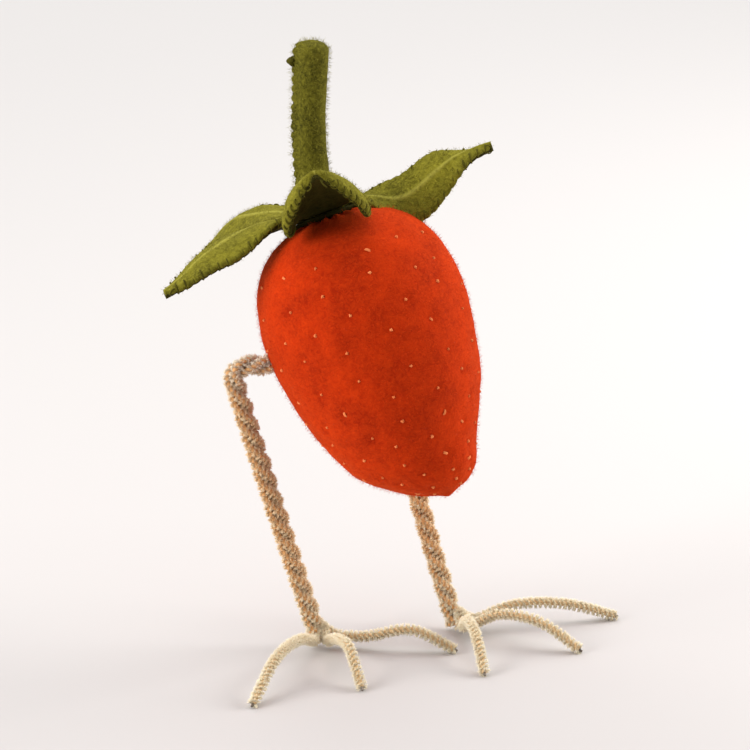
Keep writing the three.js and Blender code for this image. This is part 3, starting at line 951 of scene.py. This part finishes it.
def make_berry():
    radius, height = berry_rows()
    grid = berry_grid(radius, height, BERRY_SIDES)
    normals = grid_normals(grid)
    angle = np.linspace(0, 2 * math.pi, BERRY_SIDES, endpoint=False)[None, :]
    seeds = seed_places()
    swell = stuffed_form(grid, seeds)
    swell = swell * (1 - smoothstep(height, 86, 91))[:, None] * smoothstep(radius, 1, 6)[:, None]
    near_neck = 1 - smoothstep(radius, 8, 19)
    near_neck = (near_neck * (height > 70))[:, None]
    pleats = 0.55 * near_neck * np.cos(NECK_PLEATS * angle + 1.4 * np.sin(3 * angle))
    off_seam = np.abs((angle - SEAM_ANGLE + math.pi) % (2 * math.pi) - math.pi) * radius[:, None]
    seam = -0.7 * np.exp(-(off_seam / 0.9) ** 2) + 0.3 * np.exp(-((off_seam - 2.2) / 1.2) ** 2)
    seam = seam * smoothstep(radius, 2, 7)[:, None]
    lumps = np.array([
        [0.28 * noise.noise(Vector(p) * 0.11) + 0.1 * noise.noise(Vector(p) * 0.33) for p in row]
        for row in grid
    ])
    dents = np.zeros(grid.shape[:2])
    knots, ways_out, knot_sizes = [], [], []
    for row, turn, size in seeds:
        side = int(round(turn / (2 * math.pi) * BERRY_SIDES)) % BERRY_SIDES
        place = grid[row, side]
        reach = np.linalg.norm(grid - place, axis=2)
        dents -= (0.35 + 0.25 * size) * np.exp(-(reach / 1.7) ** 2)
        knots.append((row, side))
        ways_out.append(normals[row, side])
        knot_sizes.append(size)
    lumps *= smoothstep(radius, 0.5, 6)[:, None]
    skin = grid + normals * (swell + pleats + seam + lumps + dents)[..., None]
    skin[0] = skin[0].mean(0)
    rows = len(radius)
    inner = skin[-1] * [0.55, 0.55, 1] - [0, 0, 1.2]
    points = np.concatenate([skin[0][:1], skin[1:].reshape(-1, 3), inner, [[0, 0, inner[0, 2] - 0.3]]])
    faces = [(0, 1 + (j + 1) % BERRY_SIDES, 1 + j) for j in range(BERRY_SIDES)]
    faces += grid_faces(rows, BERRY_SIDES, 1)
    last = 1 + (rows - 1) * BERRY_SIDES
    faces += [(last + j, last + (j + 1) % BERRY_SIDES, len(points) - 1) for j in range(BERRY_SIDES)]
    berry = new_piece("berry_felt_skin", from_berry(points), faces, red_felt)
    fuzz = scattered("berry_wool_fuzz", berry.data, fuzz_tree["red"], **BERRY_FUZZ, seed=11)
    spots = np.array([skin[row, side] for row, side in knots])
    directions = np.array([berry_direction(normal) for normal in ways_out])
    draw = random.Random(8)
    headings = []
    for direction in directions:
        loose = np.array([draw.uniform(-1, 1) for _ in range(3)])
        headings.append(unit(np.cross(direction, loose)))
    places = from_berry(spots) + directions * 0.18
    big = np.array(knot_sizes) > 0.86
    pieces = []
    for name, chosen, arcs, thickness in (
        ("seed_knots", ~big, [(0.3, 0.5, 0.55, 0.0), (1.7, 0.46, 0.48, 0.12), (2.6, 0.4, 0.4, -0.12)], 0.26),
        ("seed_stitches", big, [(0.0, 0.95, 0.42, 0.14), (0.08, 0.85, 0.38, -0.18)], 0.25),
    ):
        shape = looped_thread(name + "_shape", arcs, thickness)
        ways = places[chosen], directions[chosen], np.array(headings)[chosen]
        pieces.append(sewn(name, shape, seed_thread, *ways, seed=3))
    seam_rows = [int(np.searchsorted(height, h)) for h in np.arange(7, 84, SEAM_PITCH)]
    seam_side = int(round(SEAM_ANGLE / (2 * math.pi) * BERRY_SIDES))
    seam_spots = np.array([skin[row, seam_side] for row in seam_rows])
    seam_out = np.array([berry_direction(normals[row, seam_side]) for row in seam_rows])
    seam_way = np.tile(berry_direction(np.array([1.0, 0, 0])), (len(seam_rows), 1)) + 0.35 * UP
    shape = looped_thread("seam_stitch_shape", [(0, 1.6, 0.75, 0)], 0.26)
    ways = from_berry(seam_spots) + seam_out * 0.3, seam_out, seam_way
    pieces.append(sewn("back_seam_stitches", shape, red_thread, *ways, seed=5))
    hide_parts("berry_skin")
    for piece, slot in ((berry, "red_felt"), (fuzz, "red_felt"), *((p, "red_thread") for p in pieces)):
        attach(piece, "berry")


# ---- Calyx ---------------------------------------------------------------------------------
def blade_half(leaf, share):
    """Half of a leaf's width at a share of its reach, measured straight across."""
    share = min(max(share, 0), 1)
    belly = BELLY_SHARE * math.sin(math.pi * share ** leaf["belly"]) ** leaf["taper"]
    half = leaf["width"] / 2 * min(1, belly + ROOT_SHARE * (1 - share) + POINT_SHARE * share)
    past = max(0.0, (share - TIP_START) / (1 - TIP_START))
    return half * (0.3 + 0.7 * math.sqrt(max(0.0, 1 - past * past)))


def blade_arch(leaf, share):
    """Half of the angle that the blade's cross-section bends through, edges down."""
    return math.radians(leaf["arch"]) * float(smoothstep(share, 0, 0.5)) + 0.02


def leaf_point(leaf, share, across, lift):
    """A leaf's point in its own frame, by share of its reach, -1..1 across it, and lift."""
    roll = math.radians(leaf["roll"]) * float(smoothstep(share, *leaf.get("roll_zone", (0.15, 0.55))))
    roll *= 1 - leaf.get("unroll", 0) * float(smoothstep(share, 0.6, 0.92))
    arch = blade_arch(leaf, share)
    bend_radius = blade_half(leaf, share) / math.sin(min(arch, math.pi / 2))
    sideways = (bend_radius + lift) * math.sin(arch * across)
    over = (bend_radius + lift) * math.cos(arch * across) - bend_radius
    rib = even_spline(leaf["rib"], min(max(share, 0), 1))
    return np.array([
        LEAF_ROOT + leaf["reach"] * share,
        sideways * math.cos(roll) - over * math.sin(roll),
        rib + sideways * math.sin(roll) + over * math.cos(roll),
    ])


def leaf_frame(leaf, points):
    turn = math.radians(leaf["turn"])
    x, y, z = np.asarray(points, float).reshape(-1, 3).T
    turned = np.stack([
        x * math.cos(turn) - y * math.sin(turn),
        x * math.sin(turn) + y * math.cos(turn),
        z + CALYX_TOP + LEAF_GAP,
    ], 1)
    return from_berry(turned)


def edge_bites(leaf, shares):
    """How deep the whip stitches pull the edge in at each share of the reach."""
    edge = np.array([leaf_point(leaf, share, 1, LEAF_FELT) for share in shares])
    along = lengths_along(edge)
    return STITCH_BITE * (0.5 + 0.5 * np.cos(2 * math.pi * along / STITCH_PITCH)) ** 3


def blade_sheet(name, leaf, inner, outer, material, crease):
    """One felt of a leaf: flat where it meets the other felt, round at its outer edge."""
    rows, columns, edge = 110, 23, 5
    shares = np.linspace(-0.02, 1, rows)
    bites = edge_bites(leaf, shares)
    thick = abs(outer - inner)
    quarter = np.linspace(math.pi / 2, 0, edge + 1)[1:]
    around = []
    for share, bite in zip(shares, bites):
        half = max(blade_half(leaf, share), 0.6)
        full, inset = 1 - bite / half, thick * 1.05 / half
        inset = min(inset, 0.7 * full)
        ridge = crease * float(smoothstep(share, 0.02, 0.2))
        flat = np.linspace(inset - full, full - inset, columns)
        swell = ridge * np.exp(-((flat * half) / 0.8) ** 2)
        rim = [(full - inset * (1 - math.cos(a)), inner + (outer - inner) * math.sin(a)) for a in quarter]
        ring = [(a, outer + rise) for a, rise in zip(flat, swell)]
        ring += rim
        ring += [(a, inner) for a in flat[::-1]]
        ring += [(-a, lift) for a, lift in rim[::-1]]
        around.append([(share, a, lift) for a, lift in ring])
    size = len(around[0])
    flat_places = [place for ring in around for place in ring]
    local = np.array([leaf_point(leaf, *place) for place in flat_places])
    wave = np.array([
        0.24 * noise.noise(Vector((share * 9, across * 2.5 + leaf["turn"], 0.0)))
        for share, across, _ in flat_places
    ])
    local[:, 2] += wave * smoothstep(local[:, 0], 10, 20)
    faces = closed_faces(rows, size)
    if outer > inner:
        faces = [face[::-1] for face in faces]
    piece = new_piece(name, leaf_frame(leaf, local), faces, material)
    layer = piece.data.uv_layers.new(name="sheet")
    for loop in piece.data.loops:
        share, across, _ = flat_places[loop.vertex_index]
        layer.data[loop.index].uv = ((across + 1) / 2, share)
    return piece


def leaf_edge(leaf, lift):
    """Evenly spaced places round a leaf's edge, the way out of the blade and the way along."""
    shares = np.concatenate([np.linspace(0.02, 1, 160), np.linspace(1, 0.02, 160)])
    sides = np.concatenate([np.full(160, 1.0), np.full(160, -1.0)])
    line = leaf_frame(leaf, [leaf_point(leaf, s, a, lift) for s, a in zip(shares, sides)])
    inside = [leaf_point(leaf, min(s, 0.97), a * 0.8, lift) for s, a in zip(shares, sides)]
    inner = leaf_frame(leaf, inside)
    along = lengths_along(line)
    places = np.arange(STITCH_PITCH, along[-1], STITCH_PITCH)

    def at(values, offset=0.0):
        return np.stack([np.interp(places + offset, along, values[:, k]) for k in range(3)], 1)

    spots = at(line)
    out = spots - at(inner)
    out /= np.linalg.norm(out, axis=1)[:, None]
    return spots - out * STITCH_BITE, out, at(line, 0.5) - at(line, -0.5)


def flat_size(leaf):
    """A leaf's flat area, and its flat width and length, before it was bent."""
    shares = np.linspace(0, 1, 101)
    widths = []
    for share in shares:
        arch = blade_arch(leaf, share)
        widths.append(2 * (blade_half(leaf, share) / math.sin(min(arch, math.pi / 2)) + LEAF_FELT) * arch)
    spine = lengths_along(np.array([leaf_point(leaf, share, 0, LEAF_FELT) for share in shares]))
    length = spine[-1]
    area = float(np.mean(widths) * length)
    return area * MM * MM, (max(widths) * MM, length * MM)


def make_leaf(name, leaf):
    body = f"{name}_leaf"
    middle = LEAF_FELT + LEAF_GAP / 2
    lining = blade_sheet(f"{name}_leaf_under_felt", leaf, middle - 0.03, 0.0, lining_and_shade_felt, 0.0)
    upper = blade_sheet(f"{name}_leaf_top_felt", leaf, middle + 0.03, 2 * middle, leaf_felt, leaf["crease"])
    spots, out, way = leaf_edge(leaf, middle)
    shape = edge_loop("whip_stitch", 1.4, 0.24, 0.75)
    stitches = sewn(f"{name}_leaf_whip_stitches", shape, green_thread, spots, out, way, seed=2)
    fuzz = scattered(
        f"{name}_leaf_wool_fuzz", upper.data, fuzz_tree["green"], **LEAF_FUZZ, seed=21 + len(name)
    )
    cut, flat = flat_size(leaf)
    for piece in (lining, upper, stitches, fuzz):
        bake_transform(piece)
    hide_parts(f"{body}_lining")
    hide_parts(f"{body}_upper")


def make_calyx_disc():
    rows, sides, radius, under = 14, 60, DISC_RADIUS, CALYX_TOP - DISC_FELT
    rings = [(radius * share - 0.4 * (share > 0.99), CALYX_TOP) for share in np.linspace(0.001, 1, rows)]
    rings += [(radius, CALYX_TOP - 0.5), (radius, CALYX_TOP - 1.1), (radius - 0.4, under)]
    rings += [(radius * share, under) for share in np.linspace(0.93, 0.001, rows)]
    angle = np.linspace(0, 2 * math.pi, sides, endpoint=False)
    points = []
    for r, z in rings:
        for a in angle:
            uneven = r * (1 + 0.03 * math.sin(5 * a + 1))
            lump = 0.08 * noise.noise(Vector((r * math.cos(a), r * math.sin(a), 0)) * 0.5)
            points.append((uneven * math.cos(a), uneven * math.sin(a), z + lump))
    faces = [face[::-1] for face in closed_faces(len(rings), sides)]
    disc = new_piece("calyx_felt_disc", from_berry(points), faces, lining_and_shade_felt)
    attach(disc, "berry")
    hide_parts("calyx_disc")


# ---- Stalk ---------------------------------------------------------------------------------
def make_stalk():
    pivot = from_berry([(0, 0, STALK_PIVOT)])[0]
    axis = berry_direction(np.array([0, 0, 1.0]))
    foot = pivot + STALK_FOOT_SHIFT
    line = respaced(bezier(foot, pivot + axis * STALK_BEND, pivot + STALK_TOP, 60), 0.45)
    lead = foot - axis * np.linspace(3.4, 0.3, 8)[:, None]
    line = respaced(np.concatenate([lead, line]), 0.45)
    along = lengths_along(line)
    length = along[-1]
    sides = 48
    tangents, across, _ = carried_frames(line, SEAM_SIDE)
    angle = np.linspace(0, 2 * math.pi, sides, endpoint=False)[None, :]
    off = np.minimum(angle, 2 * math.pi - angle)
    bulge = np.abs(np.sin(math.pi * along / STITCH_PITCH))[:, None] ** 0.6
    fin = (0.1 + 1.1 * bulge) * np.exp(-(off / 0.26) ** 2)
    groove = -0.35 * np.exp(-((off - 0.62) / 0.22) ** 2)
    rough = np.array([
        [0.22 * noise.noise(Vector((math.cos(a) * 1.5, math.sin(a) * 1.5, s * 0.16))) for a in angle[0]]
        for s in along
    ])
    flare = 1.9 * np.exp(-(along / 3.2) ** 2)[:, None]
    slim = STALK_RADIUS - 0.35 * np.sin(math.pi * along / length)[:, None]
    radii = slim + fin + groove + rough + flare
    dome = np.clip((along - (length - 3.4)) / 3.4, 0, 1)[:, None]
    radii = radii * np.sqrt(np.maximum(1 - dome ** 2.6, 0.0016))
    points, faces = tube(line, radii, sides, SEAM_SIDE)
    stalk = new_piece("stalk_rolled_felt", points, faces, stalk_felt)
    fuzz = scattered("stalk_wool_fuzz", stalk.data, fuzz_tree["green"], **STALK_FUZZ, seed=61)
    places = np.arange(4.0 + STITCH_PITCH / 2, length - 3.5, STITCH_PITCH)
    picks = [int(np.searchsorted(along, place)) for place in places]
    spots = line[picks] + across[picks] * (radii[picks, 0] + 0.05)[:, None]
    shape = edge_loop("stalk_stitch_shape", 1.0, 0.28, 0.7)
    ways = spots, across[picks], tangents[picks]
    stitches = sewn("stalk_whip_stitches", shape, green_thread, *ways, seed=4)
    high = int(np.searchsorted(along, length - 6.8))
    shape = looped_thread(
        "knot_shape",
        [(0.2, 1.2, 0.9, 0.3), (1.5, 1.1, 1.2, -0.4), (2.5, 1.2, 1.0, 0.4), (0.9, 1.0, 1.5, 0)],
        0.62,
    )
    spot = line[high] + across[high] * (radii[high, 0] - 0.3)
    ways = [spot], [across[high]], [tangents[high]]
    knot = sewn("stalk_thread_knot", shape, green_thread, *ways, seed=9, size=0.0013)
    for piece in (stalk, fuzz, stitches, knot):
        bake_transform(piece)
    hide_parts("stalk_felt", "stalk_core")


# ---- Legs and feet -------------------------------------------------------------------------
def leg_line(leg):
    hip = np.array([leg["sign"] * HIP[0] - 8.0, HIP[1], HIP[2]]) + CENTRING
    out = np.array([leg["sign"] * math.cos(HIP_BACKSET), math.sin(HIP_BACKSET), 0])
    ankle = np.array([*leg["ankle"], -1.0]) + CENTRING
    down = unit(ankle - hip)
    bend_start, bend_end = hip - out * HIP_BEND, hip + down * HIP_BEND
    middle = (bend_end + ankle) / 2 + np.array([*leg["bow"], 0])
    inner = hip - out * HIP_HIDDEN
    return respaced(np.concatenate([
        np.linspace(inner, bend_start, 12)[:-1],
        bezier(bend_start, hip, bend_end, 20)[:-1],
        bezier(bend_end, middle, ankle, 60),
    ]), 0.7)


def pile_piece(name, line, tree, count_per_mm, height, seed):
    length = lengths_along(line)[-1]
    return scattered(
        name, line_mesh(name, line), tree,
        count=int(length * count_per_mm), turn_pitch=STEM_TURN * MM, line_length=length * MM,
        spread=PILE_SPREAD, lean=FIBRE_LEAN, height=height * MM, girth=FIBRE_GIRTH * MM, seed=seed,
    )


def make_leg(side, leg):
    body = f"{side}_leg"
    line = leg_line(leg)
    along = lengths_along(line)
    _, across, over = carried_frames(line)
    cores = []
    for i, letter in enumerate("abc"):
        angle = 2 * math.pi * (i / 3 - along / TWIST_PITCH)
        strand = line + STRAND_OFFSET * (
            across * np.cos(angle)[:, None] + over * np.sin(angle)[:, None]
        )
        strand = strand[strand[:, 2] > STRAND_PILE * 0.8]
        pile = pile_piece(
            f"{body}_pile_{letter}", strand, pile_tree["leg"], STRAND_FIBRES, STRAND_PILE, 31 + i
        )
        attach(pile, body)
        cores.append(tube(strand, STRAND_CORE, 10))
    core = new_piece(f"{body}_stem_cores", *joined(cores), leg_core)
    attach(core, body)
    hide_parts(*(f"{body}_strand_{letter}" for letter in "abc"))
    ankle = np.array([*leg["ankle"], 0.0]) + CENTRING
    for k, (name, (heading, reach, near, far)) in enumerate(leg["toes"].items()):
        make_toe(side, name, ankle, math.radians(heading), reach, near, far, 70 + 10 * leg["sign"] + k)


def make_toe(side, name, ankle, heading, reach, near, far, seed):
    steepness = math.atan2(far, reach / 3)
    tip = 1.7 * math.cos(steepness) - 0.45
    knots = [(6, 0, 4), (reach / 3, 0, near), (reach * 2 / 3, 0, far), (reach, 0, tip)]
    local = centripetal_line(knots, 16)
    local = np.concatenate([[[-0.6, 0, 7.5], [1.6, 0, 5.6], [3.8, 0, 4.4]], local])
    direction = np.array([math.cos(heading), math.sin(heading), 0])
    line = respaced(ankle + local[:, :1] * direction + local[:, 2:] * UP, 0.6)
    line[:, 2] = np.maximum(line[:, 2], TOE_PILE * 0.62)
    body = f"{side}_{name}_toe"
    pile = pile_piece(f"{body}_pile", line, pile_tree["toe"], TOE_FIBRES, TOE_PILE, seed)
    core = new_piece(f"{body}_stem_core", *tube(line[:-1], TOE_CORE, 10), painted_light_toe_core)
    for piece in (pile, core):
        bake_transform(piece)
    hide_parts(f"{side}_foot_{name}_toe")


set_camera()
set_studio()
make_berry()
make_calyx_disc()
for leaf_name, leaf_shape in LEAVES.items():
    make_leaf(leaf_name, leaf_shape)
make_stalk()
for leg_side, leg_shape in LEGS.items():
    make_leg(leg_side, leg_shape)
discard(short_fibre, curled_fibre)
